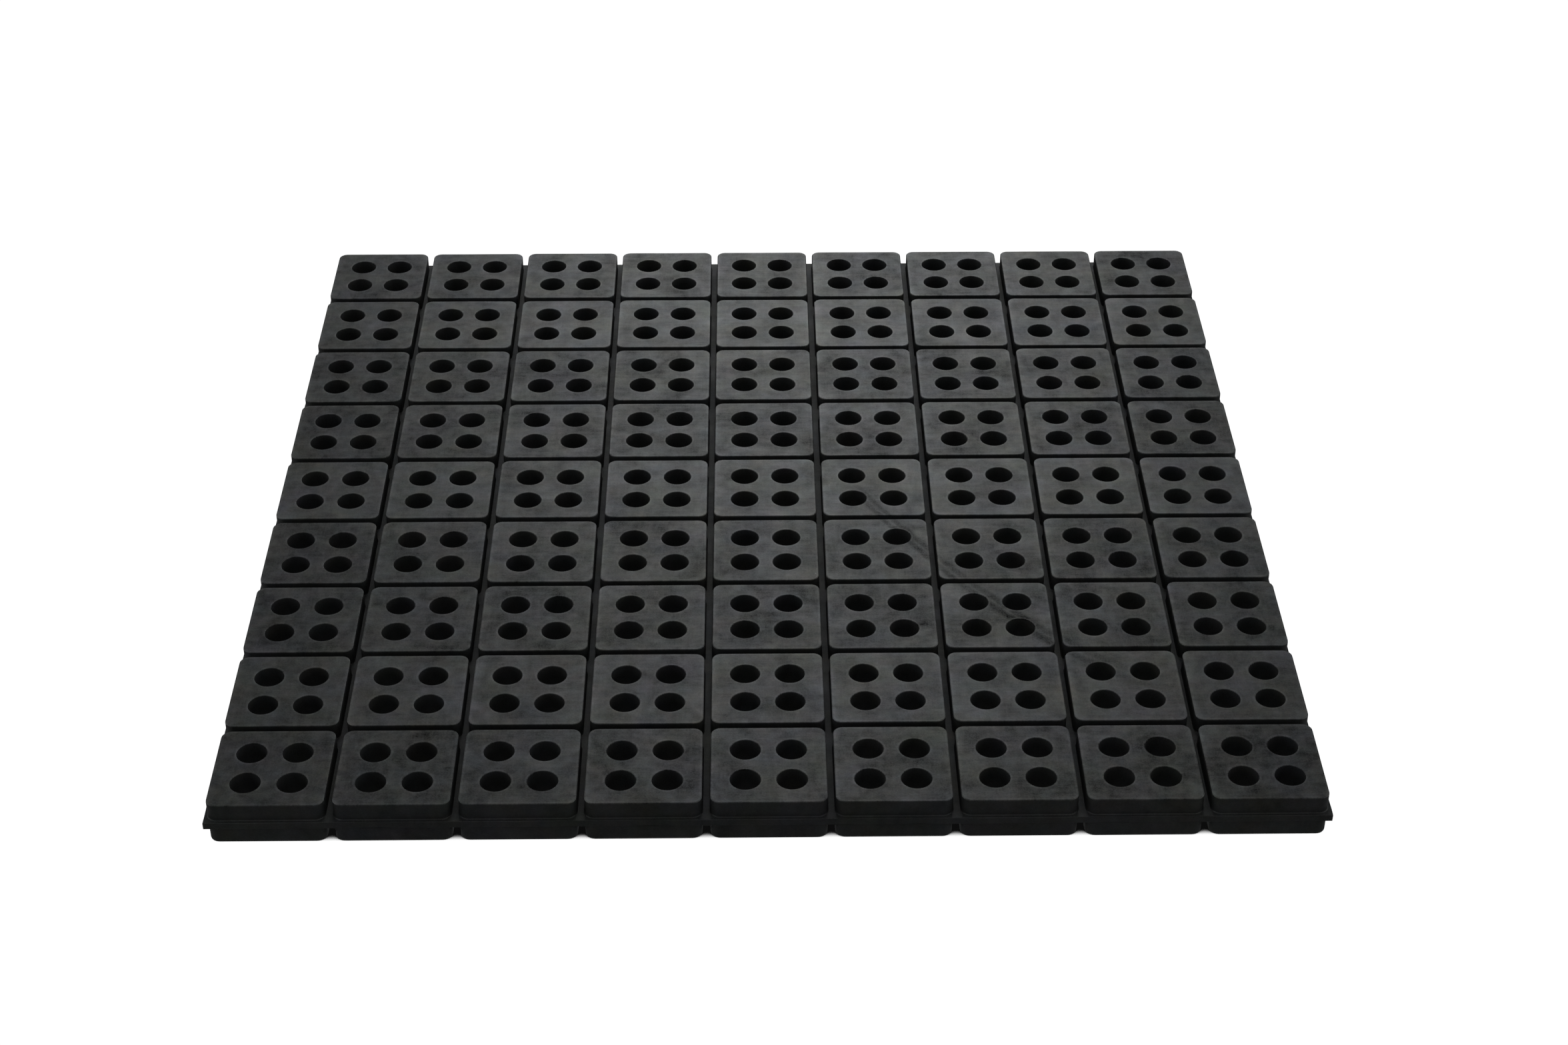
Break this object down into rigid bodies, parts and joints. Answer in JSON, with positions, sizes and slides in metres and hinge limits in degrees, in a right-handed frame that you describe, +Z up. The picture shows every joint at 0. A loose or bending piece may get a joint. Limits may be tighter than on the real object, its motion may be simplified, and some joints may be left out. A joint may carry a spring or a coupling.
{
  "type": "vibration isolation pad",
  "caption": "Flat square rubber waffle pad: rows of square blocks with round through holes, joined by a thin web at half height that bends along the grooves between the rows.",
  "frame": {"origin": "centre of the square that the blocks' bottom faces rest on", "axes": "+Z up through the thickness; +Y across the rows, from block_row_1 at the front to block_row_9 at the back; +X to the right, along a row"},
  "size_m": [0.4572, 0.4572, 0.0191],
  "materials": {
    "block_rubber": "black moulded rubber, satin, faintly chalky and mottled on the flat faces, with slightly lighter edges",
    "web_rubber": "the same black moulded rubber, satin, darker because it lies in the grooves"
  },
  "bodies": {
    "row_1": {"block_row_1": "block_rubber"},
    "row_2": {"block_row_2": "block_rubber", "web_hinge_1_2": "web_rubber"},
    "row_3": {"block_row_3": "block_rubber", "web_hinge_2_3": "web_rubber"},
    "row_4": {"block_row_4": "block_rubber", "web_hinge_3_4": "web_rubber"},
    "row_5": {"block_row_5": "block_rubber", "web_hinge_4_5": "web_rubber", "web_hinge_5_6": "web_rubber"},
    "row_6": {"block_row_6": "block_rubber", "web_hinge_6_7": "web_rubber"},
    "row_7": {"block_row_7": "block_rubber", "web_hinge_7_8": "web_rubber"},
    "row_8": {"block_row_8": "block_rubber", "web_hinge_8_9": "web_rubber"},
    "row_9": {"block_row_9": "block_rubber"}
  },
  "joints": [
    {"name": "groove_4_5", "type": "hinge", "parent": "row_5", "child": "row_4", "pos_m": [0, -0.0254, 0.00953], "axis": [-1, 0, 0], "range_deg": [-18, 18], "stiffness_Nm_per_rad": 0.95},
    {"name": "groove_3_4", "type": "hinge", "parent": "row_4", "child": "row_3", "pos_m": [0, -0.0762, 0.00953], "axis": [-1, 0, 0], "range_deg": [-18, 18], "stiffness_Nm_per_rad": 0.95},
    {"name": "groove_2_3", "type": "hinge", "parent": "row_3", "child": "row_2", "pos_m": [0, -0.127, 0.00953], "axis": [-1, 0, 0], "range_deg": [-18, 18], "stiffness_Nm_per_rad": 0.95},
    {"name": "groove_1_2", "type": "hinge", "parent": "row_2", "child": "row_1", "pos_m": [0, -0.1778, 0.00953], "axis": [-1, 0, 0], "range_deg": [-18, 18], "stiffness_Nm_per_rad": 0.95},
    {"name": "groove_5_6", "type": "hinge", "parent": "row_5", "child": "row_6", "pos_m": [0, 0.0254, 0.00953], "axis": [1, 0, 0], "range_deg": [-18, 18], "stiffness_Nm_per_rad": 0.95},
    {"name": "groove_6_7", "type": "hinge", "parent": "row_6", "child": "row_7", "pos_m": [0, 0.0762, 0.00953], "axis": [1, 0, 0], "range_deg": [-18, 18], "stiffness_Nm_per_rad": 0.95},
    {"name": "groove_7_8", "type": "hinge", "parent": "row_7", "child": "row_8", "pos_m": [0, 0.127, 0.00953], "axis": [1, 0, 0], "range_deg": [-18, 18], "stiffness_Nm_per_rad": 0.95},
    {"name": "groove_8_9", "type": "hinge", "parent": "row_8", "child": "row_9", "pos_m": [0, 0.1778, 0.00953], "axis": [1, 0, 0], "range_deg": [-18, 18], "stiffness_Nm_per_rad": 0.95}
  ]
}
